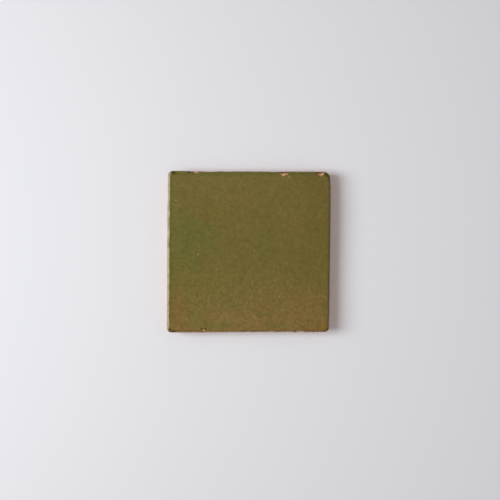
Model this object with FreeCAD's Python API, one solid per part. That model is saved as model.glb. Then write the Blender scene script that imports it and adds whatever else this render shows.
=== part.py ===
"""A hand-made glazed clay tile: moulded, chiselled to size, glazed and fired as one piece.

The tile lies on its flat bedding face with the glazed face up. Its outline is a little out of square, its sides
are chiselled back under the face so that neighbours close up tight, the face undulates, its arris is rolled
where the glaze runs over it, and flakes have broken off that arris. Lengths are in millimetres, angles in
degrees. X runs to the tile's right side and Y to its far side, from the middle of the bedding face.
"""

import FreeCAD
import Part

import math
import os

# Overall size at the rolled arris, from chord to chord half-way along the sides
WIDTH = 100.0
LENGTH = 99.2
THICKNESS = 11.0  # bedding face to the mean level of the glazed face

# How far each side is turned out of square, anticlockwise seen from above
RIGHT_LEAN = -0.60
FAR_LEAN = -0.25
LEFT_LEAN = -0.42
NEAR_LEAN = 0.20
# How far the middle of each side stands out from its chord, negative where the side is hollow
RIGHT_BOW = 0.18
FAR_BOW = -0.18
LEFT_BOW = 0.22
NEAR_BOW = -0.06
# Rounding of the outline's corners
FAR_RIGHT_CORNER = 4.8
FAR_LEFT_CORNER = 3.3
NEAR_LEFT_CORNER = 2.6
NEAR_RIGHT_CORNER = 2.8

SIDE_DRAFT = 4.0  # each side leans in by this angle towards the bedding face
FACE_ARRIS = 1.5  # radius of the roll round the glazed face
BEDDING_BEVEL = 0.5  # bevel round the bedding face, rubbed off in handling

# The undulation of the glazed face: two long swells that cross, a shorter ripple and an overall slope
SWELL_HEIGHT = 0.20
SWELL_LENGTH_ACROSS = 82.0
SWELL_LENGTH_ALONG = 66.0
SWELL_SHIFT_ACROSS = 9.0
SWELL_SHIFT_ALONG = -14.0
RIPPLE_HEIGHT = 0.09
RIPPLE_LENGTH = 41.0
RIPPLE_HEADING = 28.0
SLOPE = 0.15  # angle by which the face falls towards the right side
FACE_SPANS = 12  # spans of the smooth face surface each way
FACE_MARGIN = 10.0  # how far that surface runs past the sides before it is trimmed

# Each side's square heading outwards, its chord's distance from the middle, its lean and its bow, in
# anticlockwise order
SIDES = (
    (0.0, WIDTH / 2, RIGHT_LEAN, RIGHT_BOW),
    (90.0, LENGTH / 2, FAR_LEAN, FAR_BOW),
    (180.0, WIDTH / 2, LEFT_LEAN, LEFT_BOW),
    (270.0, LENGTH / 2, NEAR_LEAN, NEAR_BOW),
)
RIGHT, FAR, LEFT, NEAR = range(4)
# The corner at the anticlockwise end of each side
CORNERS = (FAR_RIGHT_CORNER, FAR_LEFT_CORNER, NEAR_LEFT_CORNER, NEAR_RIGHT_CORNER)

# The flakes off the arris: the side, the distance anticlockwise from that side's first corner, or clockwise
# from its last one where negative, the width along the arris, the reach into the face and the drop down the
# side. The two large ones broke off in two scoops each.
FLAKES = (
    (FAR, 6.2, 4.6, 3.1, 2.5),
    (FAR, 8.8, 2.8, 1.8, 1.8),
    (FAR, 27.0, 2.4, 2.6, 1.6),
    (FAR, 29.2, 4.4, 2.9, 2.4),
    (FAR, -17.4, 4.4, 1.6, 1.6),
    (NEAR, 22.5, 1.7, 2.0, 1.3),
)
SCOOP_OFFSET = 0.6  # how far a flake's scoop is centred outside the arris, in units of its reach and drop

UP = FreeCAD.Vector(0, 0, 1)
DRAFT_SLOPE = math.tan(math.radians(SIDE_DRAFT))
# Rounding an arris that leans out takes this much off the width, so the sharp outline is wider by it
ARRIS_LOSS = FACE_ARRIS * (DRAFT_SLOPE + 1 / math.cos(math.radians(SIDE_DRAFT)) - 1)
# The blank stands this far above the glazed face's mean level before the face is cut
FACE_RELIEF = SWELL_HEIGHT + RIPPLE_HEIGHT + WIDTH / 2 * math.tan(math.radians(SLOPE))
BLANK_HEIGHT = THICKNESS + 2 * FACE_RELIEF + FACE_ARRIS


def direction(angle):
    """The level unit vector at an angle from +X."""
    return FreeCAD.Vector(math.cos(math.radians(angle)), math.sin(math.radians(angle)), 0)


def draft_inset(height):
    """How far a sharp side lies inside its place at the glazed face, at a height above the bedding face."""
    return (THICKNESS - height) * DRAFT_SLOPE - ARRIS_LOSS


def chord(side, inset):
    """A point of a side's chord, moved in by an inset, and the side's outward direction."""
    heading, distance, lean, _ = SIDES[side]
    outward = direction(heading + lean)
    return direction(heading) * distance - outward * inset, outward


def sharp_corner(side, inset):
    """Where a side's chord crosses the next one's."""
    point, outward = chord(side, inset)
    next_point, next_outward = chord((side + 1) % 4, inset)
    along = UP.cross(outward)
    run = (next_point - point).dot(next_outward) / along.dot(next_outward)
    return point + along * run


def side_arc(side, inset):
    """The centre, the signed radius, negative for a hollow side, and the middle of a side's shallow arc."""
    start, end = sharp_corner(side - 1, inset), sharp_corner(side, inset)
    outward, bow = chord(side, inset)[1], SIDES[side][3]
    half_chord = (end - start).Length / 2
    radius = (half_chord ** 2 + bow ** 2) / (2 * bow)
    middle = (start + end) * 0.5 + outward * bow
    return middle - outward * radius, radius, middle


def corner_arc(side, inset):
    """The start, middle and end of the arc that rounds a side's anticlockwise end, tangent to both sides.

    Its centre lies a corner radius inside both sides' arcs, where two circles about their centres cross.
    """
    round_off = CORNERS[side]
    centre, radius, _ = side_arc(side, inset)
    next_centre, next_radius, _ = side_arc((side + 1) % 4, inset)
    between = next_centre - centre
    reach, next_reach = abs(radius - round_off), abs(next_radius - round_off)
    run = (reach ** 2 - next_reach ** 2 + between.Length ** 2) / (2 * between.Length)
    rise = math.sqrt(reach ** 2 - run ** 2)
    along = between * (1 / between.Length)
    across = UP.cross(along)
    corner = sharp_corner(side, inset)
    crossings = [centre + along * run + across * rise, centre + along * run - across * rise]
    middle = min(crossings, key=lambda point: point.distanceToPoint(corner))
    start = centre + (middle - centre) * (radius / (radius - round_off))
    end = next_centre + (middle - next_centre) * (next_radius / (next_radius - round_off))
    outermost = (corner - middle).normalize()
    return start, middle + outermost * round_off, end


def outline(height, inset):
    """The rounded outline at a height: a shallow arc for each side, and a tangent one for each corner."""
    arcs = []
    for side in range(4):
        start = corner_arc(side - 1, inset)[2]
        corner = corner_arc(side, inset)
        arcs.append(Part.Arc(start, side_arc(side, inset)[2], corner[0]).toShape())
        arcs.append(Part.Arc(*corner).toShape())
    wire = Part.Wire(arcs)
    wire.translate(UP * height)
    return wire


def face_height(x, y):
    """Height of the glazed face: the thickness with the crossed swells, the ripple and the slope."""
    swell_across = math.cos(2 * math.pi * (x - SWELL_SHIFT_ACROSS) / SWELL_LENGTH_ACROSS)
    swell_along = math.cos(2 * math.pi * (y - SWELL_SHIFT_ALONG) / SWELL_LENGTH_ALONG)
    heading = direction(RIPPLE_HEADING)
    ripple = math.sin(2 * math.pi * (x * heading.x + y * heading.y) / RIPPLE_LENGTH)
    slope = -x * math.tan(math.radians(SLOPE))
    return THICKNESS + SWELL_HEIGHT * swell_across * swell_along + RIPPLE_HEIGHT * ripple + slope


def blank():
    """The clay blank: a bevelled bedding arris and drafted sides, still too thick."""
    levels = (
        (0.0, draft_inset(0.0) + BEDDING_BEVEL),
        (BEDDING_BEVEL, draft_inset(BEDDING_BEVEL)),
        (BLANK_HEIGHT, draft_inset(BLANK_HEIGHT)),
    )
    return Part.makeLoft([outline(height, inset) for height, inset in levels], True, True)


def below_face():
    """Everything under the undulating glazed face, wider than the blank."""
    reach_x = WIDTH / 2 + FACE_MARGIN
    reach_y = LENGTH / 2 + FACE_MARGIN
    rows = []
    for i in range(FACE_SPANS + 1):
        x = reach_x * (2 * i / FACE_SPANS - 1)
        row = []
        for j in range(FACE_SPANS + 1):
            y = reach_y * (2 * j / FACE_SPANS - 1)
            row.append(FreeCAD.Vector(x, y, face_height(x, y)))
        rows.append(row)
    surface = Part.BSplineSurface()
    surface.interpolate(rows)
    return surface.toShape().extrude(FreeCAD.Vector(0, 0, -THICKNESS - BLANK_HEIGHT))


def flake(side, from_corner, width, reach, drop):
    """The scoop that breaks one flake off the arris: an ellipsoid centred outside the arris.

    It runs through the face at the reach, through the side at the drop, and is as wide as the flake there.
    """
    outward = chord(side, 0.0)[1]
    corner = sharp_corner(side - 1 if from_corner > 0 else side, 0.0)
    place = corner + UP.cross(outward) * from_corner
    place.z = face_height(place.x, place.y)
    spread = math.sqrt((1 + SCOOP_OFFSET) ** 2 + SCOOP_OFFSET ** 2)
    half_width = width / 2 / math.sqrt(1 - 2 * (SCOOP_OFFSET / spread) ** 2)
    stretch = FreeCAD.Matrix()
    stretch.scale(reach * spread, half_width, drop * spread)
    scoop = Part.makeSphere(1.0).transformGeometry(stretch)
    heading, _, lean, _ = SIDES[side]
    scoop.rotate(FreeCAD.Vector(), UP, heading + lean)
    scoop.translate(place + (outward * reach + UP * drop) * SCOOP_OFFSET)
    return scoop


def zellige_tile():
    """The whole tile: the blank cut to its undulating face, its arris rolled and the flakes broken off."""
    tile = blank().common(below_face())
    middle = Part.Vertex(0, 0, face_height(0, 0))
    glazed_face = min(tile.Faces, key=lambda face: face.distToShape(middle)[0])
    tile = tile.makeFillet(FACE_ARRIS, glazed_face.Edges)
    for values in FLAKES:
        tile = tile.cut(flake(*values))
    return tile.Solids[0]


os.makedirs("parts", exist_ok=True)
tile = zellige_tile()
tile.exportStep("parts/zellige_tile.step")
box = tile.optimalBoundingBox(False)
print("tile is valid:", tile.isValid(), "faces:", len(tile.Faces), "volume:", round(tile.Volume, 1))
print("size:", round(box.XLength, 2), "x", round(box.YLength, 2), "x", round(box.ZLength, 2))
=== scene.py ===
# %% [markdown]
# A zellige tile
#
# A zellige tile is a square of clay that is pressed by hand, glazed on one face, fired, and trimmed with
# a chisel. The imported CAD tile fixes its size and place. This lesson makes the surface that the eye
# sees: a glaze that pools, thins and rolls over the edge, chiselled clay sides, a scraped bedding face
# and flakes of bare clay on the arris.
#
# One closed skin is made for the whole tile, because the real one is a single piece. The CAD solid
# stays in the file for weight and contact, and the skin stands in its place for the eye.

import bpy
import numpy as np
from mathutils.bvhtree import BVHTree
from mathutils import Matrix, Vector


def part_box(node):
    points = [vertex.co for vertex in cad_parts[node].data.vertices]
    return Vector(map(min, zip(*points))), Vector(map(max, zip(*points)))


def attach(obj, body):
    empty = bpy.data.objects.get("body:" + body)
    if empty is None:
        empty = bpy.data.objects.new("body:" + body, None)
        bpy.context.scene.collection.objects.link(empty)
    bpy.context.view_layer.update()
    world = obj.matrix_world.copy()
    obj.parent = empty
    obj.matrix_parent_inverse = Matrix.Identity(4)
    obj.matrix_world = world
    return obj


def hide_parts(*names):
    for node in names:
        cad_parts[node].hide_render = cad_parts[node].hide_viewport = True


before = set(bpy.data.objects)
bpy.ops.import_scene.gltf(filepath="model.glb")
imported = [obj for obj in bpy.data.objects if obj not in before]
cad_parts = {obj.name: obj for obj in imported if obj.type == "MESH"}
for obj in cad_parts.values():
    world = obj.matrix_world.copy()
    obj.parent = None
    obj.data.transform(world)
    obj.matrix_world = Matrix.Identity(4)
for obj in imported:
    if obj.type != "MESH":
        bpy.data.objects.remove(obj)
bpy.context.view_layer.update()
scene = bpy.context.scene
MM = 0.001
tile_low, tile_high = (np.array(corner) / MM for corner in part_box("zellige_tile"))
print("packed tile, mm:", np.round(tile_high - tile_low, 2))

# %% [markdown]
# Numbers that wander
#
# Nothing on a hand-made tile is straight, so most shapes and colours here are nudged by smooth random
# numbers. Blender has noise textures for this, but the mesh needs the same kind of noise in numpy.
# Lattice noise is the simplest: a random number sits at each whole-number place in space, and a smooth
# curve joins neighbours. The random number is worked out from the place itself, so every run gives the
# same tile.

# %% Lattice noise for whole arrays of points
def random_at(place, seed):
    """A repeatable number from -1 to 1 for whole-number places, whose bits are multiplied and folded."""
    mixed = place[..., 0] * 374761393 + place[..., 1] * 668265263 + place[..., 2] * 1440662683
    mixed = (mixed + seed * 974711) & 0xFFFFFFFF
    mixed = ((mixed ^ (mixed >> 13)) * 1103515245) & 0xFFFFFFFF
    return ((mixed ^ (mixed >> 16)) & 0xFFFFFF) / 0x7FFFFF - 1


def lumps(points, size, seed):
    """Smooth heights from -1 to 1, about one lump for each size: the eight random numbers round a point
    are blended by 3t^2 - 2t^3, where t is how far the point lies through its cell."""
    cell = points / size
    low = np.floor(cell).astype(np.int64)
    t = cell - low
    t = t * t * (3 - 2 * t)
    total = np.zeros(points.shape[:-1])
    for corner in np.ndindex(2, 2, 2):
        share = np.where(np.array(corner) == 1, t, 1 - t).prod(axis=-1)
        total += share * random_at(low + np.array(corner), seed)
    return total


def rough(points, size, seed, octaves=3):
    """Lumps on lumps: each octave has half the size and half the height of the one before it."""
    return sum(lumps(points, size / 2 ** n, seed + n) / 2 ** n for n in range(octaves))


def smooth_step(value, start, end):
    """0 before start, 1 after end, and 3t^2 - 2t^3 between them."""
    t = np.clip((value - start) / (end - start), 0, 1)
    return t * t * (3 - 2 * t)


def hill(value, middle, reach):
    """A round hill, 1 at the middle: exp(-((value - middle) / reach)^2)."""
    return np.exp(-((value - middle) / reach) ** 2)


# %% [markdown]
# The outline
#
# Seen from above, the tile is a square that isn't quite square: each side has its own lean and a slight
# bow, and each corner its own radius. These are the CAD solid's own values, so that the skin lies on
# it. A point of the plan is held as one complex number, x + yi, because then a turn is a multiplication
# and the outline is eight arcs, each with a centre, a radius and a first and last direction.

# %% The sides, corners and slopes of the solid
WIDTH = 100
LENGTH = 99.2
THICKNESS = 11
# The sides are numbered anticlockwise from the right one
FAR = 1
NEAR = 3
HEADINGS = np.radians([0, 90, 180, 270])
LEANS = np.radians([-0.60, -0.25, -0.42, 0.20])
BOWS = np.array([0.18, -0.18, 0.22, -0.06])
CORNERS = np.array([4.8, 3.3, 2.6, 2.8])
DRAFT_SLOPE = np.tan(np.radians(4))
BEDDING_BEVEL = 0.5
HALF_SPANS = np.array([WIDTH, LENGTH, WIDTH, LENGTH]) / 2
OUTWARD = np.exp(1j * (HEADINGS + LEANS))
SIDE_WEIGHTS = np.array([1, 1, 6, 1])


# %% The eight arcs of the outline
def dot(a, b):
    """The dot product of plan vectors held as complex numbers."""
    return (a * np.conj(b)).real


def sharp_corners(inset):
    """Where each side's straight chord, moved in by the inset, crosses the next one's."""
    on_side = np.exp(1j * HEADINGS) * HALF_SPANS - OUTWARD * inset
    on_next, next_outward = np.roll(on_side, -1), np.roll(OUTWARD, -1)
    along = 1j * OUTWARD
    return on_side + along * dot(on_next - on_side, next_outward) / dot(along, next_outward)


def outline_arcs(inset):
    """Centre, signed radius, first and last direction of the eight arcs: a side, its corner, and so on.

    A side's arc stands out from its chord by its bow. A corner's arc touches both sides' arcs, so its
    centre is where two circles about their centres, smaller by the corner's radius, cross. A hollow
    side's radius is negative, which turns its circles inside out and leaves the formulas as they are.
    """
    corners = sharp_corners(inset)
    starts = np.roll(corners, 1)
    half = abs(corners - starts) / 2
    radius = (half ** 2 + BOWS ** 2) / (2 * BOWS)
    centre = (corners + starts) / 2 + OUTWARD * (BOWS - radius)
    next_centre, next_radius = np.roll(centre, -1), np.roll(radius, -1)
    reach, next_reach = abs(radius - CORNERS), abs(next_radius - CORNERS)
    between = next_centre - centre
    run = (reach ** 2 - next_reach ** 2 + abs(between) ** 2) / (2 * abs(between))
    rise = np.sqrt(reach ** 2 - run ** 2)
    crossings = centre + between / abs(between) * (run + 1j * rise * np.array([[1], [-1]]))
    nearer = np.argmin(abs(crossings - corners), axis=0)
    middle = crossings[nearer, np.arange(4)]
    leave = (middle - centre) / (radius - CORNERS)
    join = (middle - next_centre) / (next_radius - CORNERS)
    arcs = np.zeros((8, 4), complex)
    arcs[0::2] = np.stack([centre, radius, np.roll(join, 1), leave], axis=1)
    arcs[1::2] = np.stack([middle, CORNERS, leave, join], axis=1)
    return arcs


def outline(place, inset=0):
    """Points and outward directions of the outline. A place's whole part names the arc, 0 to 7, and the
    rest says how far along it: point = centre + radius x direction, and the direction turns evenly."""
    arcs = outline_arcs(inset)
    which = np.floor(place).astype(int) % 8
    centre, radius, first, last = arcs[which].T
    turn = np.angle(last * np.conj(first))
    direction = first * np.exp(1j * turn * (place - np.floor(place)))
    return centre + radius.real * direction, direction


def by_side(outward, right=0, far=0, left=0, near=0):
    """A value of its own for each side that runs smoothly round the corners: each side counts by the
    square of the cosine between its heading and the outward direction, and the left side six times, so
    that it runs further round its corners."""
    shares = np.maximum(dot(outward[..., None], np.exp(1j * HEADINGS)), 0) ** 2 * SIDE_WEIGHTS
    return shares @ np.array([right, far, left, near]) / shares.sum(axis=-1)


arc_ends, _ = outline(np.arange(8))
print("outline, mm:", np.ptp(arc_ends.real).round(2), np.ptp(arc_ends.imag).round(2))

# %% [markdown]
# The flakes
#
# Where the chisel or a knock broke the arris, a flake came off and left a shell-shaped scar of bare
# clay. In the CAD solid each scar is an ellipsoid centred just outside the arris, and the same places
# and sizes serve here. A mesh could be cut by a boolean, but it is simpler and cleaner to push every
# point that lies inside such a scoop out to its surface, away from the scoop's centre. The scoop here
# is a superellipsoid, a little squarer than an ellipsoid, so that its walls stand as steep as a
# break's do, and its surface is rough.

# %% Where the arris is broken
# Side, distance anticlockwise from its first corner or back from its last, width, reach in, drop
FLAKES = (
    (FAR, 6.2, 4.6, 3.1, 2.5),
    (FAR, 8.8, 2.8, 1.8, 1.8),
    (FAR, 27, 2.4, 2.6, 1.6),
    (FAR, 29.2, 4.4, 2.9, 2.4),
    (FAR, -17.4, 4.4, 1.6, 1.6),
    (NEAR, 22.5, 1.7, 2, 1.3),
)
# Nibbles are small dents in the clay that the glaze ran into, so no clay shows in them
NIBBLES = (
    (FAR, -13.6, 2.6, 1.1, 1.4),
    (FAR, -33, 1.8, 0.7, 1),
    (NEAR, 2.4, 1.6, 0.9, 1),
    (NEAR, 4.8, 2.2, 0.7, 1),
    (NEAR, 78.6, 1.6, 0.6, 0.9),
)
SCOOP_OFFSET = 0.6
SCOOP_POWER = 2.15
SCOOP_LUMP = 1.3
FLAKE_ROUGHNESS = 0.06
NIBBLE_ROUGHNESS = 0.04

# %% The height of the face, and points inside a scoop
SWELL = 0.20
SWELL_ACROSS = 82
SWELL_ALONG = 66
SWELL_TOP = 9 - 14j
RIPPLE = 0.09
RIPPLE_LENGTH = 41
RIPPLE_HEADING = np.exp(1j * np.radians(28))
FACE_SLOPE = np.tan(np.radians(0.15))


def face_height(plan):
    """Height of the glazed face, as in the solid: the thickness, crossed swells, a ripple and a slope."""
    from_top = 2 * np.pi * (plan - SWELL_TOP)
    swell = np.cos(from_top.real / SWELL_ACROSS) * np.cos(from_top.imag / SWELL_ALONG)
    ripple = np.sin(2 * np.pi * dot(plan, RIPPLE_HEADING) / RIPPLE_LENGTH)
    return THICKNESS + SWELL * swell + RIPPLE * ripple - plan.real * FACE_SLOPE


def arris_place(side, from_corner):
    """The point of a side's chord at a distance from its first corner, or back from its last."""
    corners = sharp_corners(0)
    corner = corners[side - 1] if from_corner > 0 else corners[side]
    return corner + 1j * OUTWARD[side] * from_corner


def scoop(points, values, roughness, seed):
    """Points inside one scoop pushed out to its surface. Returns them and how far each moved, in mm.

    In the scoop's own lengths a point q = (a, b, c) has the size (|a|^p + |b|^p + |c|^p)^(1/p). It is
    inside where the size is under 1, and it moves to q / size.
    """
    side, from_corner, width, reach, drop = values
    stretch = np.hypot(1 + SCOOP_OFFSET, SCOOP_OFFSET)
    half_width = width / 2 / np.sqrt(1 - 2 * (SCOOP_OFFSET / stretch) ** 2)
    semi_axes = np.array([reach * stretch, half_width, drop * stretch])
    place, out = arris_place(side, from_corner), OUTWARD[side]
    axes = np.array([[out.real, out.imag, 0], [-out.imag, out.real, 0], [0, 0, 1]])
    centre = np.array([place.real, place.imag, face_height(place)])
    centre = centre + (axes[0] * reach + axes[2] * drop) * SCOOP_OFFSET
    q = (points - centre) @ axes.T / semi_axes
    size = np.linalg.norm(q, ord=SCOOP_POWER, axis=-1, keepdims=True)
    surface = 1 + roughness * rough(points, SCOOP_LUMP, seed, 4)[..., None]
    moved = np.where(size < surface, centre + (q / size * surface * semi_axes) @ axes, points)
    return moved, np.linalg.norm(moved - points, axis=-1)


# %% Columns round the outline, close together at the flakes
COLUMN_STEP = 0.62
FLAKE_STEP = 0.15
TRIAL_STEPS = 16000
FINE_REACH = 0.55
FINE_FADE = 2.5


def column_places():
    """Places round the outline: the step is wide, and narrow within reach of a flake or nibble. Many
    trial steps are counted in columns, and a place is taken wherever the count passes a whole one."""
    arcs = outline_arcs(0)
    lengths = abs(arcs[:, 1].real * np.angle(arcs[:, 3] * np.conj(arcs[:, 2])))
    place = np.linspace(0, 8, TRIAL_STEPS + 1)[:-1]
    run = np.interp(place, np.arange(9), np.concatenate([[0], np.cumsum(lengths)]))
    points, _ = outline(place)
    closeness = np.zeros_like(place)
    for side, from_corner, width, _, _ in FLAKES + NIBBLES:
        away = abs(points - arris_place(side, from_corner))
        fine = width * FINE_REACH
        closeness = np.maximum(closeness, 1 - smooth_step(away, fine, fine + FINE_FADE))
    step = COLUMN_STEP * (FLAKE_STEP / COLUMN_STEP) ** closeness
    count = np.cumsum(np.gradient(run) / step)
    columns = int(count[-1])
    return np.interp(np.arange(columns) * count[-1] / columns, count, place)


places = column_places()
rim, outward = outline(places)
rim_points = np.stack([rim.real, rim.imag, np.zeros(len(rim))], axis=-1)
print("columns:", len(places))

# %% [markdown]
# The skin
#
# The skin is one profile carried round the outline. It starts in the middle of the face, runs out to
# the arris, rolls over it, goes down the chiselled side, round the rubbed bevel, and back under the
# tile to the middle of the bedding face. A subdivided box could also be rounded off, but a grid of
# columns and rows puts its points where the detail is: close together at the arris, and wide apart in
# the middle.
#
# The glaze leaves another roll on each side. The left one is a shallow slope, so a strip of it catches
# the light, and the others turn down more steeply. The profile is a superellipse, whose power says how
# square it is.

# %% The roll of the arris, side by side
ROLL_ROWS = 12
roll_width = by_side(outward, right=1.5, far=1.5, left=1.35, near=1.6)
roll_width = roll_width * (1 + 0.17 * lumps(rim_points, 5, 21) + 0.13 * lumps(rim_points, 2.1, 22))
roll_drop = by_side(outward, right=1.3, far=1.1, left=0.34, near=1)
roll_power = by_side(outward, right=1.8, far=1.7, left=1.15, near=1.5)


def roll(angle):
    """Distance in from the outline and drop below the face, along a superellipse |X|^p + |Z|^p = 1 whose
    angle runs from 0 on the face to 90 degrees at the arris: X = sin^(2/p), Z = cos^(2/p)."""
    across = np.sin(angle) ** (2 / roll_power)
    up = np.cos(angle) ** (2 / roll_power)
    return roll_width * (1 - across), roll_drop * (1 - up)


print("roll width, mm:", roll_width.min().round(2), "to", roll_width.max().round(2))


# %% Plan and height of every row
FINE_BAND = 4.2
FACE_ROWS = 36
BAND_ROWS = 9
SIDE_ROWS = 32
BEVEL_ROWS = 3
BACK_ROWS = 15
SIDE_TOP = THICKNESS - 1.5


def spread(steps, growth):
    """Places from 0 to 1 whose steps grow evenly, the last so many times as long as the first."""
    lengths = growth ** np.linspace(0, 1, steps)
    return (np.concatenate([[0], np.cumsum(lengths)]) / lengths.sum())[:, None]


def face_rows():
    """Scaled rings out to the fine band, then rings at even distances in, then the roll."""
    band = FINE_BAND + (roll_width - FINE_BAND) * np.linspace(0, 1, BAND_ROWS + 1)[1:, None]
    angles = np.linspace(0, np.pi / 2, ROLL_ROWS + 1)[1:, None]
    roll_inset, roll_fall = roll(angles)
    support = dot(rim, outward)
    rings = rim * (1 - FINE_BAND / support) * (1 - spread(FACE_ROWS, 7))[::-1]
    plan = np.concatenate([rings, rim * (1 - np.concatenate([band, roll_inset]) / support)])
    fall = np.concatenate([np.zeros((len(plan) - ROLL_ROWS, len(rim))), roll_fall])
    return plan, face_height(plan) - fall


def side_and_back_rows():
    """The side leans in by the draft below the roll, the bevel is a quarter round, the back is rings."""
    arris = face_height(rim) - roll_drop
    height = arris + (BEDDING_BEVEL - arris) * spread(SIDE_ROWS, 3)[1:]
    foot_inset = (SIDE_TOP - BEDDING_BEVEL) * DRAFT_SLOPE
    foot, foot_outward = outline(places, foot_inset)
    lean = np.maximum(SIDE_TOP - height, 0) * DRAFT_SLOPE / foot_inset
    angles = np.linspace(0, np.pi / 2, BEVEL_ROWS + 1)[1:, None]
    bevel = foot - foot_outward * BEDDING_BEVEL * (1 - np.cos(angles))
    bevel_height = BEDDING_BEVEL * (1 - np.sin(angles)) + 0 * rim.real
    back = bevel[-1] * (1 - spread(BACK_ROWS, 5))[1:]
    plan = np.concatenate([rim + (foot - rim) * lean, bevel, back])
    return plan, np.concatenate([height, bevel_height, np.zeros(back.shape)])


face_plan, face_heights = face_rows()
side_plan, side_heights = side_and_back_rows()
face_count = len(face_plan)
plan = np.concatenate([face_plan, side_plan])
height = np.concatenate([face_heights, side_heights])
skin = np.stack([plan.real, plan.imag, height], axis=-1)
print("rows and columns:", skin.shape[:2])

# %% [markdown]
# Hand work
#
# The bare skin is too true. Four things happened to the real surface, and each is a shift of the grid's
# points: the arris wanders where the chisel did, the fired glaze keeps a gentle relief, the sides below
# the glaze are a row of chisel hollows with sharp ridges between them, and the glaze stands proud of
# the bare clay down to a ragged lip. Hollows with sharp ridges come from lattice noise too: its
# absolute value has a crease wherever the noise changes sign.

# %% How far the glaze ran down the sides
DRIPS_FROM = 0.4
DRIP_LENGTH = 5
LIP_LEAST = 0.5
LIP_MOST = 7
inside = np.zeros(plan.shape)
inside[:face_count] = np.maximum(dot(rim - face_plan, outward), 0)
below = np.maximum(face_heights[-1] - height, 0)
below[:face_count] = 0
lip = by_side(outward, right=1.2, far=1.8, left=1.6, near=1.5)
lip = lip * (1 + 0.4 * lumps(rim_points, 11, 31) + 0.25 * lumps(rim_points, 4, 32))
drips = np.maximum(lumps(rim_points, 5.5, 33) - DRIPS_FROM, 0)
lip = np.clip(lip + DRIP_LENGTH * drips, LIP_LEAST, LIP_MOST)
glaze_run = lip + inside - below
print("glaze lip below the arris, mm:", lip.min().round(2), "to", lip.max().round(2))


# %% Shifts of the arris, the face, the sides and the back
GLAZE_THICKNESS = 0.22
# Where the arris strays from the solid's outline: x and y, reach along it, shift outwards
STRAYS = (
    (-50, 33, 2.2, -0.22),
    (-50, 24, 6, 0.17),
    (-50, 11.5, 3.5, -0.14),
    (-50, -15, 4, -0.2),
    (-50, -34, 5, -0.13),
    (-49.6, -48.8, 2, -0.05),
    (-44.5, 49.5, 3.5, 0.15),
    (-34.9, 49.5, 1.8, -0.16),
    (-25, 49.5, 5.5, -0.32),
    (-12.8, 49.5, 2, -0.22),
    (15.8, 49.5, 2.8, -0.22),
    (50.3, 44.1, 2, -0.28),
    (50.2, 29, 8, 0.08),
    (49.7, -43, 3, -0.12),
    (-45, -49.7, 3.5, 0.16),
    (-36, -49.7, 8, 0.1),
    (-24, -49.6, 5, 0.12),
    (-5.4, -49.6, 1.5, 0.16),
    (2, -49.6, 1.5, 0.12),
    (16.8, -49.6, 1.5, 0.16),
    (46.3, -49.6, 1.5, 0.12),
    (31.5, -49.6, 1.3, -0.12),
)
# Beads where the glaze ran and stopped at the near arris: x, width
BEADS = ((28.4, 0.8), (34.9, 0.55), (37.3, 0.55), (39.8, 0.55), (42.2, 0.55))
BEAD_LINE = -49.55
BEAD_SHIFT = 0.30
STRAY_FADE = 3
CHISEL_HOLLOW = 0.42
CHISEL_MARK = 0.16
STROKE_SHAPE = np.array([1, 1, 1.5])
LIP_BEAD = 0.10


def side_shift():
    """How far each point moves outwards: the arris's strays, chisel hollows, the step to bare clay."""
    fine = by_side(outward, right=0.05, far=0.045, left=0.07, near=0.07)
    strays = fine * (lumps(rim_points, 3.4, 43) + 0.7 * lumps(rim_points, 1.6, 46)) - 0.02
    for x, y, reach, shift in STRAYS:
        strays = strays + shift * hill(abs(rim - complex(x, y)), 0, reach)
    for x, width in BEADS:
        strays = strays + BEAD_SHIFT * hill(abs(rim - complex(x, BEAD_LINE)), 0, width)
    bare = 1 - smooth_step(glaze_run, -0.05, 0.35)
    strokes = abs(lumps(skin * STROKE_SHAPE, 6.5, 44)) * CHISEL_HOLLOW
    strokes = strokes + abs(rough(skin, 2.4, 45)) * CHISEL_MARK
    cut = smooth_step(below, 0.4, 2.5) * strokes * (0.45 + 0.55 * bare)
    bead = LIP_BEAD * hill(glaze_run, 0.4, 0.3) * smooth_step(below, 0.1, 0.6)
    return strays * np.exp(-(inside + below) / STRAY_FADE) - cut - GLAZE_THICKNESS * bare + bead


def face_shift():
    """How far each point of the face rises: two sizes of lumps that the pressing and the glaze left."""
    return 0.045 * lumps(skin, 15, 51) + 0.02 * lumps(skin, 6.5, 52)


def back_shift():
    """How far each point of the bedding face lies above the level: hollows only, as it rests on it."""
    return np.maximum(0.25 * rough(skin, 17, 61), 0) + np.maximum(0.10 * rough(skin, 3, 64), 0)


on_side = np.zeros(len(skin), bool)
on_side[face_count:face_count + SIDE_ROWS] = True
on_back = np.arange(len(skin)) >= face_count + SIDE_ROWS
outward_shift = side_shift()
foot_share = np.clip(abs(plan[on_back]) / abs(plan[on_side][-1]), 0, 1)
outward_shift[on_back] = outward_shift[on_side][-1] * foot_share
skin[..., 0] += outward_shift * outward.real
skin[..., 1] += outward_shift * outward.imag
skin[:face_count, :, 2] += face_shift()[:face_count]
skin[on_back, :, 2] += back_shift()[on_back]
print("outward shift, mm:", outward_shift.min().round(2), "to", outward_shift.max().round(2))

# %% Flakes and nibbles
scar = np.zeros(plan.shape)
nibble = np.zeros(plan.shape)
for seed, values in enumerate(FLAKES):
    skin, depth = scoop(skin, values, FLAKE_ROUGHNESS, 70 + seed)
    scar = np.maximum(scar, depth)
for seed, values in enumerate(NIBBLES):
    skin, depth = scoop(skin, values, NIBBLE_ROUGHNESS, 90 + seed)
    nibble = np.maximum(nibble, depth)
skin = np.clip(skin, tile_low, tile_high)
print("deepest scar, mm:", scar.max().round(2), "and nibble:", nibble.max().round(2))


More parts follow.
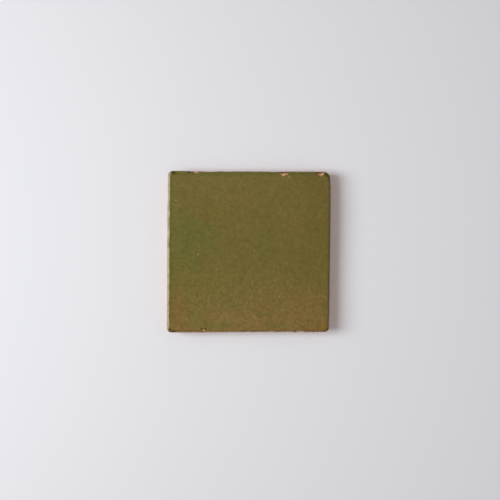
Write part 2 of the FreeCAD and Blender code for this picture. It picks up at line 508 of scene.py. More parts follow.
# %% How far the skin strays from the solid
def distances_from_solid(points):
    """The shortest distance from each point to the CAD solid's surface, in mm."""
    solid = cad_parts["zellige_tile"].data
    corners = [vertex.co for vertex in solid.vertices]
    tree = BVHTree.FromPolygons(corners, [tuple(face.vertices) for face in solid.polygons])
    return np.array([tree.find_nearest(point)[3] for point in points * MM]) / MM


strayed = distances_from_solid(skin[::3, ::7].reshape(-1, 3))
print("off the solid, mm: mean", strayed.mean().round(2), "and most", strayed.max().round(2))

# %% [markdown]
# The colours that the kiln left
#
# The glaze is a lead glaze over reddish clay. It is olive where it is thick, greener in pools, browner
# where iron came through, and amber to pinkish where it thinned at the arris. These are soft changes,
# so they are worked out here for each point and stored on the mesh as attributes, which the material
# reads. A painted texture would do it too, but attributes need no image and no unwrapping.
#
# Tone runs from green to brown, lightness from dark to light, and amber says how much blue the glaze
# swallows. A film marks the left arris, where the glaze ran off and was fired pale and matt, and its pale
# colour is partly a painted highlight on the side that faces the light.

# %% Broad and small spots of tone, light and amber
# Middle x and y, reach in x and y, all in mm, and amount: below 0 is greener, above 0 is browner
TONE_SPOTS = (
    (-38, 8, 17, 18, -0.95),
    (-47, -5, 8, 8, -0.3),
    (8, 2, 11, 8, -0.4),
    (-6, 32, 18, 9, 0.25),
    (29, 16, 5, 4, 0.5),
    (6, -23, 13, 6, 0.3),
    (44, -27, 10, 6, 0.5),
    (-32, -41, 7, 6, -0.6),
    (6, -38, 16, 9, -0.35),
    (0, -46, 80, 20, 0.75),
    (-46, -35, 8, 13, 0.6),
    (28, -38, 26, 13, 0.4),
)
TONE_DABS = (
    (-46, -47.5, 2.5, 1.5, 0.8),
    (46.4, -34, 0.8, 6, -1),
    (-20, -44.9, 11, 2, -1),
    (22, -45.4, 14, 1.6, -0.7),
    (14, -41.8, 20, 0.9, 0.5),
)
# The same for light: below 0 is darker
LIGHT_SPOTS = (
    (-30, 42, 34, 20, 0.25),
    (4, 36, 18, 14, 0.35),
    (-18, -38, 12, 8, 0.45),
    (-38, -36, 9, 9, -0.4),
    (40, 10, 8, 12, -0.25),
    (-20, 45, 40, 4, 0.25),
    (-8, -46, 30, 10, 0.8),
    (0, -30, 60, 14, 0.35),
    (46, 2, 14, 34, -0.35),
    (45, 43, 10, 12, -0.5),
)
# Dabs of light: above 0 painted highlights on the left rim and on a line inside the far-left arris, below
# 0 painted shade in nicks, at the corners and by a bead
GLINT_AND_SHADE_DABS = (
    (-49.3, 33.3, 0.8, 1.6, 2),
    (-49, 12.7, 0.6, 2.2, 3),
    (-49.2, -12.2, 0.6, 1.1, 3),
    (-49.2, -18.4, 0.6, 1.5, 3),
    (-49.3, -42.4, 0.6, 1.3, 2),
    (-46.6, 48.8, 1.2, 0.8, -8.5),
    (-45.2, 47.8, 0.8, 0.7, -3),
    (-36.6, 48.6, 1.4, 0.6, -5),
    (-41.5, 48.7, 3.2, 0.35, 2),
    (48.2, 47.2, 1.4, 1.2, -4),
    (49.3, 45, 0.8, 1.6, -2),
    (-17.5, 48.9, 1, 0.5, -3),
    (-46.4, -48.9, 1.4, 0.8, -8.5),
    (-48.8, -48.1, 0.7, 0.8, -8),
    (-29, -47.4, 0.8, 0.6, -7),
    (-26.5, -47.2, 0.8, 0.6, -7),
    (-27.8, -49.4, 1.2, 0.5, -3),
    (28.4, -49.2, 1, 0.6, -3.5),
    (48.6, -47.6, 0.9, 1.4, -2.5),
    (46.8, -49, 1.6, 0.6, -2.5),
)
# The same for amber, which takes blue away: below 0 gives it back
AMBER_SPOTS = (
    (45, 8, 11, 26, 1),
    (-45, -38, 9, 9, 1.2),
    (-46, -8, 11, 9, 0.9),
    (-10, -38, 15, 9, -0.9),
    (-20, 42, 30, 7, -0.7),
)
SPOT_WANDER = 4
FILM_AND_HIGHLIGHT_WIDTH = 1.35
BEAD_SHADE = 4
BEAD_SHADE_LINE = -49
BEAD_SHADE_REACH = 0.8


# %% Spots, bands, thinness, and the film with its painted highlight
def soft_spots(spots, wander):
    """Each spot's amount times a hill in x and a hill in y, added up, at places that wander."""
    x = skin[..., 0] + wander * rough(skin, 22, 101)
    y = skin[..., 1] + wander * rough(skin, 22, 104)
    total = np.zeros(plan.shape)
    for middle_x, middle_y, reach_x, reach_y, amount in spots:
        total += amount * hill(x, middle_x, reach_x) * hill(y, middle_y, reach_y)
    return total


def edge_band(start, width, **amounts):
    """A band along the arris: each side's amount times a hill at a distance in."""
    return by_side(outward, **amounts) * hill(inside, start, width)


def thinness():
    """1 where the glaze is a bare film, 0 where it is thick: it thins over the arris and to the lip."""
    edge = by_side(outward, right=0.45, far=0.4, left=0.1, near=0.8)
    band = by_side(outward, right=1.1, far=0.6, left=0.4, near=1.35)
    patchy = 1 + 0.35 * rough(skin, 3, 111)
    towards_lip = 0.35 * smooth_step(below, 0, 2)
    return np.clip((edge * np.exp(-(inside / band) ** 3) + towards_lip) * patchy, 0, 1)


def film_and_highlight():
    """1 along the left arris and round its corners, where only a pale matt film of glaze is left. Its
    pale colour is partly a painted highlight.
    """
    width = FILM_AND_HIGHLIGHT_WIDTH + 0.30 * lumps(rim_points, 3.5, 141) + 0.20 * lumps(rim_points, 1.8, 142)
    on_roll = smooth_step(width - inside, -0.15, 0.2) * (1 - smooth_step(below, 0.3, 1.6))
    return smooth_step(by_side(outward, left=1), 0.25, 0.6) * on_roll


# %% Tone, light, amber and thinness of every point
pale_film_and_highlight = film_and_highlight()
dull = np.maximum(pale_film_and_highlight, smooth_step(nibble, 0, 0.1))
amber = soft_spots(AMBER_SPOTS, SPOT_WANDER)
tone = soft_spots(TONE_SPOTS, SPOT_WANDER) + soft_spots(TONE_DABS, 0)
# Greener inside the far arris: with the far band of lightness below, painted shade where the glaze slopes
# away from the light
tone += edge_band(1.8, 0.9, far=-0.8) + edge_band(2.6, 1.3, left=-0.8)
tone += edge_band(1.3, 0.9, right=0.35, near=0.5)
lightness = soft_spots(LIGHT_SPOTS, SPOT_WANDER) + soft_spots(GLINT_AND_SHADE_DABS, 0)
# Painted shade: darker bands inside the far, left and right arris, where the glaze slopes away from the
# light
lightness += edge_band(1.7, 0.9, far=-1) + edge_band(0.2, 0.5, far=-0.4)
lightness += edge_band(2, 0.6, left=-1.2) + edge_band(1.2, 0.9, right=-0.9)
# Lighter along the near arris, where the glaze is thin, and painted shade in each nibble
lightness += edge_band(0.9, 0.5, near=0.8) - 3 * (nibble > 0.05)
# Painted highlights that come and go along the left rim
lightness += 2 * pale_film_and_highlight * rough(rim_points, 5, 151)
for bead_x, width in BEADS:
    shade = BEAD_SHADE * hill(plan.imag, BEAD_SHADE_LINE, BEAD_SHADE_REACH)
    lightness -= shade * hill(plan.real, bead_x, width)
dashes = smooth_step(rough(rim_points, 5.5, 131), -0.3, 0.5)
lightness += edge_band(0.1, 0.45, near=-2, far=-1.2) * dashes
thin = thinness()
print("tone:", tone.min().round(2), "to", tone.max().round(2))

# %% [markdown]
# Stained and shaded clay
#
# The fresh clay in a scar is pale under the glaze. At the arris the scar is a reddish brown: partly a
# stain, where iron and the glaze soaked in before the firing, and partly painted shade on the scar's deep
# wall, which turns from the light. These are small spots too, kept in an attribute of their own.

# %% Stains and painted shade in the scars
# Middle x and y, reach in x and y, amount
STAINS_AND_SHADE = (
    (21.6, 49.3, 2.9, 1.1, 1.9),
    (24.9, 48.4, 0.8, 1.2, 1.4),
    (43.9, 49.4, 2.8, 1.15, 1.9),
    (41.8, 48, 0.8, 1, 1),
    (47.6, 48.2, 0.8, 1.4, 1),
    (-31.8, 48.9, 2.6, 1.4, 0.62),
    (-30.2, 49, 1, 1.2, 0.5),
    (46.6, 47.4, 0.6, 1, 0.7),
    (24, 47.2, 0.5, 0.6, 0.5),
    (-34.4, 48.8, 0.7, 0.9, 0.9),
    (-27.8, -49.6, 1.4, 0.8, 1),
)
stain_and_shade = soft_spots(STAINS_AND_SHADE, 0) + 0.15 * rough(skin, 0.9, 121)
print("stain:", stain_and_shade.min().round(2), "to", stain_and_shade.max().round(2))

# %% [markdown]
# From grid to mesh
#
# Each cell of the grid is one four-sided face. The first and last rows are single points, the poles,
# and are joined to their neighbours by fans of triangles. The last column joins the first, so the skin
# is closed. Going down the rows and then anticlockwise keeps every face pointing outwards.

# %% The tile's mesh
def grid_faces(rows, columns):
    """Quads (row, column), (row + 1, column), (row + 1, column + 1), (row, column + 1), and the fans."""
    first = 1 + np.arange((rows - 2) * columns).reshape(rows - 2, columns)
    after = np.roll(first, -1, axis=1)
    quads = np.stack([first[:-1], first[1:], after[1:], after[:-1]], axis=-1).reshape(-1, 4)
    face_pole = np.zeros(columns, int)
    back_pole = face_pole + 1 + (rows - 2) * columns
    face_fan = np.stack([face_pole, first[0], after[0]], axis=-1)
    back_fan = np.stack([first[-1], back_pole, after[-1]], axis=-1)
    return face_fan.tolist() + quads.tolist() + back_fan.tolist()


def by_point(grid):
    """The grid as one list of points, with a single one for each pole."""
    return np.concatenate([grid[0, :1], grid[1:-1].reshape(-1, *grid.shape[2:]), grid[-1, :1]])


def skin_mesh():
    """The mesh in metres, smooth, with its attributes, the bedding face in the second material slot."""
    mesh = bpy.data.meshes.new("glazed_tile")
    rows, columns = plan.shape
    mesh.from_pydata((by_point(skin) * MM).tolist(), [], grid_faces(rows, columns))
    values = dict(
        glaze_run=glaze_run, scar=scar, stain_and_shade=stain_and_shade, thin=thin, tone=tone,
        lightness=lightness, amber=amber, pale_film_and_highlight=pale_film_and_highlight, dull=dull,
    )
    for name, grid in values.items():
        stored = mesh.attributes.new(name, "FLOAT", "POINT")
        stored.data.foreach_set("value", by_point(grid).astype(np.float32))
    face_row = np.concatenate([np.zeros(columns), np.repeat(np.arange(1, rows - 1), columns)])
    on_bedding = face_row >= face_count + SIDE_ROWS + BEVEL_ROWS - 1
    mesh.polygons.foreach_set("material_index", on_bedding.astype(np.int32))
    mesh.shade_smooth()
    mesh.update()
    return mesh


def new_object(name, data):
    """An object in the scene, made from its data."""
    made = bpy.data.objects.new(name, data)
    scene.collection.objects.link(made)
    return made


tile = new_object("glazed_tile", skin_mesh())
tile.data.calc_loop_triangles()
mended = tile.data.validate(verbose=True)
print("triangles:", len(tile.data.loop_triangles), "mesh was sound:", not mended)

# %% [markdown]
# Material helpers
#
# A material is a graph of nodes. Code that builds one reads best when each line adds a node and
# returns what it puts out, and these helpers do that. Sizes are in millimetres, and a noise texture's
# scale is lumps in a metre, so scale = 1000 / size.

# %% Helpers for nodes
def feed(tree, node, inputs):
    """Links each input that is given as another node's output, and sets any other."""
    for name, value in inputs.items():
        if isinstance(value, bpy.types.NodeSocket):
            tree.links.new(value, node.inputs[name])
        else:
            node.inputs[name].default_value = value


def add(tree, kind, inputs=None, **settings):
    """Adds a shader node with its settings and feeds its inputs."""
    made = tree.nodes.new("ShaderNode" + kind)
    for name, value in settings.items():
        setattr(made, name, value)
    feed(tree, made, inputs or {})
    return made


def sums(tree, operation, first, second=0, third=0):
    """A Math node's result."""
    return add(tree, "Math", {0: first, 1: second, 2: third}, operation=operation).outputs[0]


def scaled(tree, value, factor, plus=0):
    """A value times a factor, plus another."""
    return sums(tree, "MULTIPLY_ADD", value, factor, plus)


def ramp(tree, value, start, end, low=0, high=1):
    """A value that goes smoothly from low to high while another goes from start to end."""
    inputs = {"Value": value, "From Min": start, "From Max": end, "To Min": low, "To Max": high}
    return add(tree, "MapRange", inputs, interpolation_type="SMOOTHSTEP").outputs[0]


def mixed(tree, share, first, second, how="MIX"):
    """A mix of two colours."""
    inputs = {0: share, 6: first, 7: second}
    return add(tree, "Mix", inputs, data_type="RGBA", blend_type=how).outputs[2]


def object_place(tree):
    """The place on the tile, in metres."""
    return add(tree, "TexCoord").outputs["Object"]


def noise(tree, size, detail, vector=None):
    """Smooth noise from 0 to 1 with lumps of a size in mm, on the tile's own coordinates."""
    vector = object_place(tree) if vector is None else vector
    inputs = {"Vector": vector, "Scale": 1000 / size, "Detail": detail}
    return add(tree, "TexNoise", inputs).outputs[0]


def wandering(tree, value, size, detail, amount):
    """A value plus noise that goes half an amount to each side of 0."""
    wander = scaled(tree, noise(tree, size, detail), amount, -amount / 2)
    return sums(tree, "ADD", value, wander)


def attribute(tree, name):
    """A number stored on the mesh."""
    return add(tree, "Attribute", attribute_name=name).outputs["Fac"]


def paint(red, green, blue):
    """A colour as a paint chart gives it, from 0 to 255, turned into the light it reflects."""
    shown = np.array([red, green, blue]) / 255
    light = np.where(shown <= 0.04045, shown / 12.92, ((shown + 0.055) / 1.055) ** 2.4)
    return (*light.tolist(), 1)


print("olive as light:", np.round(paint(110, 97, 52)[:3], 3))


# %% Helpers for groups and materials
def new_group(name, inputs, outputs):
    """A node group with named number inputs and outputs, and its two end nodes."""
    group = bpy.data.node_groups.new(name, "ShaderNodeTree")
    for socket_name, value in inputs.items():
        socket = group.interface.new_socket(socket_name, in_out="INPUT", socket_type="NodeSocketFloat")
        socket.default_value = value
    for socket_name, kind in outputs.items():
        group.interface.new_socket(socket_name, in_out="OUTPUT", socket_type=f"NodeSocket{kind}")
    return group, group.nodes.new("NodeGroupInput"), group.nodes.new("NodeGroupOutput")


def place_group(tree, group, **values):
    """Places a group with its own values."""
    return add(tree, "Group", values, node_tree=group).outputs


def new_material(name, inputs=None):
    """A material whose graph is a Principled BSDF, with its inputs, and the output."""
    material = bpy.data.materials.new(name)
    material.use_nodes = True
    tree = material.node_tree
    tree.nodes.clear()
    shader = add(tree, "BsdfPrincipled", inputs)
    add(tree, "OutputMaterial", {"Surface": shader.outputs[0]})
    return material, tree, shader


def dress(tree, shader, colour, roughness, height, strength=1):
    """Links a colour, a roughness and, through a Bump node, a height in metres to the shader."""
    bump = add(tree, "Bump", {"Height": height, "Distance": 1, "Strength": strength})
    feed(tree, shader, {"Base Color": colour, "Roughness": roughness, "Normal": bump.outputs[0]})


# %% [markdown]
# Fired clay
#
# The clay is dug near the kiln, and grains of sand and lime and small hollows show wherever it is bare:
# in the flakes, on the sides and on the bedding face. Two materials need it, so it is a node group. The
# grains are specks, one in some of the cells of a Voronoi texture, and the specks are a group as well.

# %% The speckle group
def speckle_group():
    """Round specks in a share of the cells of a Voronoi texture, as a mask from 0 to 1. Cell is the
    cells' size in mm, and Radius a speck's size as a share of it."""
    group, start, end = new_group("specks", {"Cell": 2, "Share": 0.3, "Radius": 0.25}, {"Mask": "Float"})
    scale = sums(group, "DIVIDE", 1000, start.outputs["Cell"])
    cells = add(group, "TexVoronoi", {"Vector": object_place(group), "Scale": scale})
    chance = add(group, "SeparateColor", {0: cells.outputs["Color"]}).outputs[0]
    chosen = sums(group, "LESS_THAN", chance, start.outputs["Share"])
    radius = start.outputs["Radius"]
    disc = ramp(group, cells.outputs["Distance"], scaled(group, radius, 0.6), radius, 1, 0)
    feed(group, end, {"Mask": scaled(group, disc, chosen)})
    return group


SPECKLE = speckle_group()


def specks(tree, cell, share, radius):
    """A mask of specks."""
    return place_group(tree, SPECKLE, Cell=cell, Share=share, Radius=radius)["Mask"]


print("specks:", len(SPECKLE.nodes), "nodes")


# %% The fired clay group
SALMON = paint(211, 150, 104)
PALE_SALMON = paint(226, 180, 134)
DEEP_SALMON = paint(182, 118, 78)
LIME = paint(230, 208, 176)
DARK_SAND = paint(130, 82, 56)
GRIT_HEIGHT = 0.16 * MM
LIME_HEIGHT = 0.05 * MM
HOLLOW_HEIGHT = -0.14 * MM


def clay_group():
    """Salmon clay with warm and pale patches, lime and dark grains, and a gritty height in metres."""
    group, start, end = new_group(
        "fired_clay", {"Grit": 1}, {"Color": "Color", "Roughness": "Float", "Height": "Float"}
    )
    grit = noise(group, 0.9, 5)
    lime = scaled(group, specks(group, 1.4, 0.14, 0.30), ramp(group, grit, 0.35, 0.6, 0.3, 1))
    dark = specks(group, 2.1, 0.30, 0.26)
    hollow = specks(group, 2.8, 0.45, 0.30)
    patches = ramp(group, noise(group, 7, 4), 0.35, 0.68)
    colour = mixed(group, patches, SALMON, PALE_SALMON)
    colour = mixed(group, ramp(group, grit, 0.62, 0.35, 0, 0.4), colour, DEEP_SALMON)
    colour = mixed(group, lime, colour, LIME)
    colour = mixed(group, scaled(group, dark, 0.6), colour, DARK_SAND)
    grain_height = scaled(group, grit, GRIT_HEIGHT)
    grain_height = scaled(group, lime, LIME_HEIGHT, grain_height)
    grain_height = scaled(group, hollow, HOLLOW_HEIGHT, grain_height)
    roughness = ramp(group, grit, 0.3, 0.7, 0.84, 0.96)
    height = scaled(group, grain_height, start.outputs["Grit"])
    feed(group, end, {"Color": colour, "Roughness": roughness, "Height": height})
    return group


CLAY = clay_group()
print("fired clay:", len(CLAY.nodes), "nodes")

# %% [markdown]
# Single marks on the face
#
# A few pale grains, pits and scratches on the face are too fine for the mesh, and each has its own
# place, and one pale streak is a painted highlight on a glaze ridge. One group makes a soft oval mask at
# a place, and the material adds up as many as it needs.

# %% The marks and their group
# Middle x and y, reach in x and y, all in mm, and strength
PALE_GRAINS_AND_GLINT = (
    (-44.8, 31.4, 0.45, 0.45, 0.6),
    (-43.8, 28.7, 0.35, 0.35, 0.25),
    (-46, 22.2, 0.35, 0.45, 0.25),
    (-31.3, -1.6, 0.45, 0.6, 0.65),
    (-19.6, -14, 0.5, 0.5, 0.4),
    (-17.1, -13.2, 0.4, 0.35, 0.4),
    (-19.8, -9.9, 0.4, 0.4, 0.35),
    (-8.6, -3, 0.35, 0.35, 0.3),
    # A painted highlight on a glaze ridge, drawn as a pale streak
    (24.6, 46, 0.3, 1, 0.65),
    (28.8, 21.6, 0.35, 0.35, 0.4),
    (30.9, 0.5, 0.4, 0.4, 0.4),
    (15.6, -12, 0.4, 0.4, 0.35),
    (25.6, -13.2, 0.7, 0.35, 0.35),
    (17.3, -24.2, 0.4, 0.8, 0.4),
    (18.9, -27.6, 0.4, 0.8, 0.4),
    (20.3, -35.8, 0.4, 0.9, 0.4),
    (37.3, -24.2, 0.35, 0.9, 0.35),
    (-44.2, -27.5, 0.4, 0.35, 0.3),
    (-24.6, -31.6, 0.4, 0.4, 0.3),
)
DARK_MARKS = (
    (-32, -0.2, 0.55, 0.8, 0.5),
    (-34.3, -11.2, 0.5, 0.6, 0.45),
    (-26, -27.3, 0.6, 0.45, 0.4),
    (15.1, -30.6, 0.5, 0.6, 0.45),
    (28.5, 15.4, 0.6, 0.5, 0.35),
    (-39.3, 47, 0.6, 0.4, 0.5),
    (-36.4, 46.9, 0.5, 0.4, 0.5),
    (-35.1, 47.6, 0.5, 0.4, 0.5),
)
RUST_MARKS = ((45.4, -45.5, 1.5, 2, 0.5), (42.5, -47.4, 3.4, 0.9, 0.3))


def mark_group():
    """A soft oval: 1 where ((x - X) / Reach X)^2 + ((y - Y) / Reach Y)^2 is small, 0 from 1.6 on."""
    sizes = {"X": 0, "Y": 0, "Reach X": 0.5, "Reach Y": 0.5}
    group, start, end = new_group("mark", sizes, {"Mask": "Float"})
    place = add(group, "SeparateXYZ", {0: object_place(group)}).outputs
    total = 0
    for axis, middle, reach in ((0, "X", "Reach X"), (1, "Y", "Reach Y")):
        away = scaled(group, place[axis], 1000)
        away = sums(group, "SUBTRACT", away, start.outputs[middle])
        away = sums(group, "DIVIDE", away, start.outputs[reach])
        total = scaled(group, away, away, total)
    feed(group, end, {"Mask": ramp(group, total, 0.3, 1.6, 1, 0)})
    return group


MARK = mark_group()


def marks(tree, rows):
    """The sum of marks, each with its own strength."""
    total = 0
    for x, y, reach_x, reach_y, strength in rows:
        sizes = {"X": x, "Y": y, "Reach X": reach_x, "Reach Y": reach_y}
        total = scaled(tree, place_group(tree, MARK, **sizes)["Mask"], strength, total)
    return total


print("marks:", len(PALE_GRAINS_AND_GLINT), "pale and", len(DARK_MARKS), "dark")

# %% [markdown]
# Glaze over clay
#
# One material covers the face and the sides. It mixes bare clay and glaze by two attributes: how far a
# point lies above the glaze's lip, and how deep it lies in a flake. A flake cuts through the glaze
# first, so its rim shows the amber edge of the glaze, then the pale clay under it. Where the glaze
# thins, its colour goes from olive over brown to a pinkish film. The mottling is in three sizes. It is
# stronger on the near half of the tile, where more iron came through, and fine streaks slant across it.

# %% The glaze's colours and its mottling
OLIVE = paint(111, 97, 43)
POOL_GREEN = paint(102, 98, 41)
IRON_BROWN = paint(122, 96, 47)
# Where the thinning glaze turns brown, then amber, then into a pinkish film, from 0 thick to 1 bare
THINNING = (
    (0.14, 0.40, paint(97, 78, 38)),
    (0.35, 0.60, paint(122, 92, 48)),
    (0.60, 0.95, paint(152, 122, 88)),
)
# Pale grey of the left rim: a matt film of glaze, partly a painted highlight
FILM_AND_HIGHLIGHT_GREY = paint(150, 138, 103)
PALE_GRAIN_AND_GLINT = paint(156, 144, 90)
DARK_GRAIN = paint(76, 66, 30)
RUST = paint(146, 98, 26)
# Size in mm and strength of each mottling
MOTTLING = ((9, 0.10), (2.4, 0.36), (1.3, 0.40))
NEAR_MOTTLING = 1.22
STREAK_SLANT = -1.1
STREAK_SIZE = 0.85
STREAK_LENGTH = 2.4


def streaks(tree):
    """Fine pale strokes that slant down to the right, from noise that is stretched along them."""
    place = object_place(tree)
    slant = {"Vector": place, "Rotation": (0, 0, STREAK_SLANT), "Scale": (STREAK_LENGTH, 1, 1)}
    along = add(tree, "Mapping", slant, vector_type="TEXTURE").outputs[0]
    return ramp(tree, noise(tree, STREAK_SIZE, 1, along), 0.50, 0.74, -0.012, 0.15)


def mottling(tree):
    """A factor round 1 for the glaze's light: noises of three sizes and, on the near half, streaks."""
    nearness = add(tree, "SeparateXYZ", {0: object_place(tree)}).outputs[1]
    strength = ramp(tree, nearness, 2 * MM, -26 * MM, 1, NEAR_MOTTLING)
    total = scaled(tree, streaks(tree), ramp(tree, nearness, -12 * MM, -28 * MM))
    for size, amount in MOTTLING:
        total = wandering(tree, total, size, 1.5, amount)
    return scaled(tree, total, strength, 0.97)


# %% The glaze's colour, put together
TONE_WANDER = 1.04
LIGHT_STEP = 0.10
DARKEST = 0.22
AMBER_STEP = -0.1


def glaze_colour(tree):
    """The broad tones with a slow wander, then the thinning, the mottling and the marks. Light that
    rises adds a little more green than red, and most blue, so pale places are also less yellow."""
    tone_value = wandering(tree, attribute(tree, "tone"), 6, 1, TONE_WANDER)
    colour = mixed(tree, ramp(tree, tone_value, 0, -1), OLIVE, POOL_GREEN)
    colour = mixed(tree, ramp(tree, tone_value, 0, 1), colour, IRON_BROWN)
    thin_share = wandering(tree, attribute(tree, "thin"), 1.6, 3, 0.3)
    for start, end, thinner in THINNING:
        colour = mixed(tree, ramp(tree, thin_share, start, end), colour, thinner)
    # The left rim's pale film, partly a painted highlight
    colour = mixed(tree, attribute(tree, "pale_film_and_highlight"), colour, FILM_AND_HIGHLIGHT_GREY)
    light = scaled(tree, attribute(tree, "lightness"), LIGHT_STEP, mottling(tree))
    light = sums(tree, "MAXIMUM", light, DARKEST)
    green = scaled(tree, light, 1.1, -0.1)
    blue = scaled(tree, light, 1.85, -0.85)
    blue = sums(tree, "MAXIMUM", blue, scaled(tree, light, 0.4))
    blue = scaled(tree, attribute(tree, "amber"), AMBER_STEP, blue)
    tint = add(tree, "CombineColor", {0: light, 1: green, 2: blue}).outputs[0]
    colour = mixed(tree, 1, colour, tint, how="MULTIPLY")
    colour = mixed(tree, marks(tree, DARK_MARKS), colour, DARK_GRAIN)
    colour = mixed(tree, marks(tree, RUST_MARKS), colour, RUST)
    # Pale grains, and one painted highlight on a glaze ridge
    return mixed(tree, marks(tree, PALE_GRAINS_AND_GLINT), colour, PALE_GRAIN_AND_GLINT)


# %% Glaze over clay
FRESH_CLAY = paint(213, 182, 128)
# Reddish brown of the scars: stain, and painted shade on their walls
SOAKED_CLAY = paint(150, 88, 54)
STAINED_AND_SHADED_CLAY = paint(116, 74, 46)
GLAZE_SECTION = paint(114, 82, 38)
GLAZE_IOR = 1.52
DULLNESS = 0.35
PEEL_HEIGHT = 0.010 * MM


def glazed_material():
    """Glaze and clay mixed by the lip and the flakes, in colour, roughness and height."""
    material, tree, shader = new_material("glaze_over_clay", {"IOR": GLAZE_IOR})
    body = place_group(tree, CLAY, Grit=1)
    run = wandering(tree, attribute(tree, "glaze_run"), 0.8, 3, 0.5)
    above_lip = ramp(tree, run, -0.04, 0.10)
    scar_depth = attribute(tree, "scar")
    depth = scaled(tree, noise(tree, 0.7, 3), 0.10, scar_depth)
    broken = ramp(tree, scar_depth, 0.01, 0.04)
    through = ramp(tree, depth, 0.20, 0.34)
    # Stains at the arris, partly painted shade on the scars' walls
    stained_and_shaded = scaled(tree, ramp(tree, attribute(tree, "stain_and_shade"), 0.3, 0.9), broken)
    # Paler where a flake is shallow, darker where it is deep: partly painted shade in the scar's depth
    fresh_with_depth_shade = mixed(tree, ramp(tree, depth, 1.4, 0.3, 0.4, 0.85), body["Color"], FRESH_CLAY)
    soaked = mixed(tree, ramp(tree, run, -0.9, -0.05, 0, 0.5), body["Color"], SOAKED_CLAY)
    clay_colour = mixed(tree, broken, soaked, fresh_with_depth_shade)
    clay_colour = mixed(tree, stained_and_shaded, clay_colour, STAINED_AND_SHADED_CLAY)
    section = mixed(tree, broken, glaze_colour(tree), GLAZE_SECTION)
    glazed = scaled(tree, above_lip, sums(tree, "SUBTRACT", 1, through))
    colour = mixed(tree, glazed, clay_colour, section)
    gloss = ramp(tree, noise(tree, 5, 2), 0.3, 0.7, 0.13, 0.21)
    gloss = scaled(tree, attribute(tree, "dull"), DULLNESS, gloss)
    roughness = add(tree, "Mix", {0: glazed, 2: body["Roughness"], 3: gloss}).outputs[0]
    peel = scaled(tree, noise(tree, 3, 1), PEEL_HEIGHT)
    height = add(tree, "Mix", {0: glazed, 2: body["Height"], 3: peel}).outputs[0]
    dress(tree, shader, colour, roughness, height)
    return material


tile.data.materials.append(glazed_material())
print("materials:", [material.name for material in tile.data.materials])

# %% [markdown]
# The bedding face
#
# The underside was scraped level with a blade before firing, so long shallow scratches run across it,
# and a film of pale dust has stuck to it. It is the same clay group with those two things added.

# %% Scraped clay
DUST = paint(222, 205, 182)
LATTICE_TURN = 0.3
SCRATCH_HEIGHT = 0.35 * MM


def bedding_material():
    """The clay with pale dust and with scratches, from noise that is stretched along x, the blade's way.
    The noise's lattice is turned, so that it doesn't line up with the blade."""
    material, tree, shader = new_material("scraped_clay")
    body = place_group(tree, CLAY, Grit=1.3)
    blade = {"Vector": object_place(tree), "Rotation": (0, 0, LATTICE_TURN), "Scale": (0.06, 1, 1)}
    stretched = add(tree, "Mapping", blade).outputs[0]
    scratches = noise(tree, 1.4, 3, stretched)
    dust = ramp(tree, noise(tree, 16, 5), 0.48, 0.66, 0, 0.55)
    colour = mixed(tree, dust, body["Color"], DUST)
    height = scaled(tree, scratches, SCRATCH_HEIGHT, body["Height"])
    dress(tree, shader, colour, body["Roughness"], height, 0.9)
    return material


tile.data.materials.append(bedding_material())
print("materials:", [material.name for material in tile.data.materials])

# %% [markdown]
# Floor, light and camera
#
# The tile lies on a pale surface under one large soft source at the left, and the room fills the
# shadows. The source stands 45 degrees up and covers some 38 degrees of height, which is why the shadow
# on the right is dark only close to the tile and fades out over 18 mm. It is slightly cool, and the
# world's light, which comes more from overhead and from the right than from the horizon, is slightly
# warm, so the shadow is a warm grey. To the camera and in reflections the world shows a backdrop, pale
# at the horizon and darker above. Far from the tile the floor turns clear, so that it melts into the
# backdrop and shows no edge.

# %% The floor
FLOOR_WHITE = paint(225, 223, 226)
FLOOR_HALF = 1.6
FLOOR_FADE = (0.25, 0.60)


def floor_mesh(half):
    """One square, level with the bedding face."""
    mesh = bpy.data.meshes.new("floor")
    corners = [(-half, -half, 0), (half, -half, 0), (half, half, 0), (-half, half, 0)]
    mesh.from_pydata(corners, [], [(0, 1, 2, 3)])
    return mesh


floor = new_object("floor", floor_mesh(FLOOR_HALF))
matt = {"Base Color": FLOOR_WHITE, "Roughness": 0.9, "Specular IOR Level": 0.1}
floor_material, floor_tree, floor_shader = new_material("pale_floor", matt)
away = add(floor_tree, "VectorMath", {0: object_place(floor_tree)}, operation="LENGTH")
clear = add(floor_tree, "BsdfTransparent").outputs[0]
fade = {0: ramp(floor_tree, away.outputs["Value"], *FLOOR_FADE), 1: floor_shader.outputs[0], 2: clear}
faded = add(floor_tree, "MixShader", fade).outputs[0]
feed(floor_tree, floor_tree.get_output_node("ALL"), {"Surface": faded})
floor.data.materials.append(floor_material)

# %% The soft source
LAMP_DISTANCE = 1.05
LAMP_ELEVATION = np.radians(45)
LAMP_AZIMUTH = np.radians(178)
LAMP_ACROSS = 0.47
LAMP_UP = 0.73
LAMP_SPREAD = np.radians(110)
LAMP_POWER = 3.95
LAMP_COLOUR = (0.92, 1, 1.06)

lamp_data = bpy.data.lights.new("soft_source", "AREA")
lamp_data.shape = "RECTANGLE"
lamp_data.size = LAMP_ACROSS
lamp_data.size_y = LAMP_UP
lamp_data.spread = LAMP_SPREAD
lamp_data.energy = LAMP_POWER
lamp_data.color = LAMP_COLOUR
lamp = new_object("soft_source", lamp_data)
level = LAMP_DISTANCE * np.cos(LAMP_ELEVATION)
lamp_height = LAMP_DISTANCE * np.sin(LAMP_ELEVATION)
lamp.location = (level * np.cos(LAMP_AZIMUTH), level * np.sin(LAMP_AZIMUTH), lamp_height)
lamp.rotation_euler = (-lamp.location).to_track_quat("-Z", "Y").to_euler()
print("lamp at, m:", [round(value, 2) for value in lamp.location])

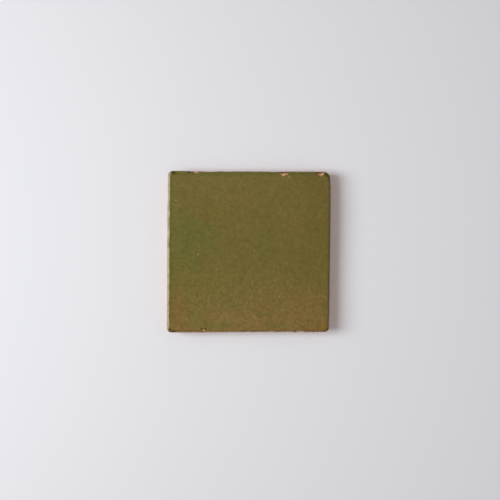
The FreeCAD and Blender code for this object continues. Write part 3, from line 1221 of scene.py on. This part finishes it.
# %% The room's light
FILL = 0.43
FILL_AT_HORIZON = 0.2
FILL_OVERHEAD = 1.1
FILL_FROM_RIGHT = 0.5
FILL_COLOUR = (1.07, 0.99, 0.93, 1)
BACKDROP_LOW = (0.74, 0.74, 0.77, 1)
BACKDROP_HIGH = (0.22, 0.22, 0.23, 1)


def room_world():
    """A fill for the light, strongest overhead and from the right, and a backdrop for the eye."""
    world = bpy.data.worlds.new("room")
    world.use_nodes = True
    tree = world.node_tree
    tree.nodes.clear()
    place = add(tree, "TexCoord").outputs["Generated"]
    rightward, _, upward = add(tree, "SeparateXYZ", {0: place}).outputs
    backdrop = mixed(tree, ramp(tree, upward, 0, 0.75), BACKDROP_LOW, BACKDROP_HIGH)
    rise = FILL * (FILL_OVERHEAD - FILL_AT_HORIZON)
    fill = scaled(tree, sums(tree, "MAXIMUM", upward), rise, FILL * FILL_AT_HORIZON)
    fill = scaled(tree, sums(tree, "MAXIMUM", rightward), FILL * FILL_FROM_RIGHT, fill)
    fill = mixed(tree, 1, fill, FILL_COLOUR, how="MULTIPLY")
    rays = add(tree, "LightPath").outputs
    seen = 0
    for ray in ("Camera", "Glossy", "Transmission"):
        seen = sums(tree, "MAXIMUM", seen, rays[f"Is {ray} Ray"])
    background = add(tree, "Background", {"Color": mixed(tree, seen, fill, backdrop)})
    add(tree, "OutputWorld", {"Surface": background.outputs[0]})
    return world


scene.world = room_world()
scene.view_settings.view_transform = "Standard"

# %% The camera
CAMERA_OVER = (0.77 * MM, 1.02 * MM)
CAMERA_ABOVE_FACE = 726.5 * MM
FRAME_ON_FACE = 307.5 * MM

camera_data = bpy.data.cameras.new("camera")
camera_data.lens = camera_data.sensor_width * CAMERA_ABOVE_FACE / FRAME_ON_FACE
camera = new_object("camera", camera_data)
camera.location = (*CAMERA_OVER, CAMERA_ABOVE_FACE + THICKNESS * MM)
scene.camera = camera
print("lens, mm:", round(camera_data.lens, 1))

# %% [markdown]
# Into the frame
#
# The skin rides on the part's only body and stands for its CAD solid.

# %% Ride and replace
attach(tile, "root")
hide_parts("zellige_tile")
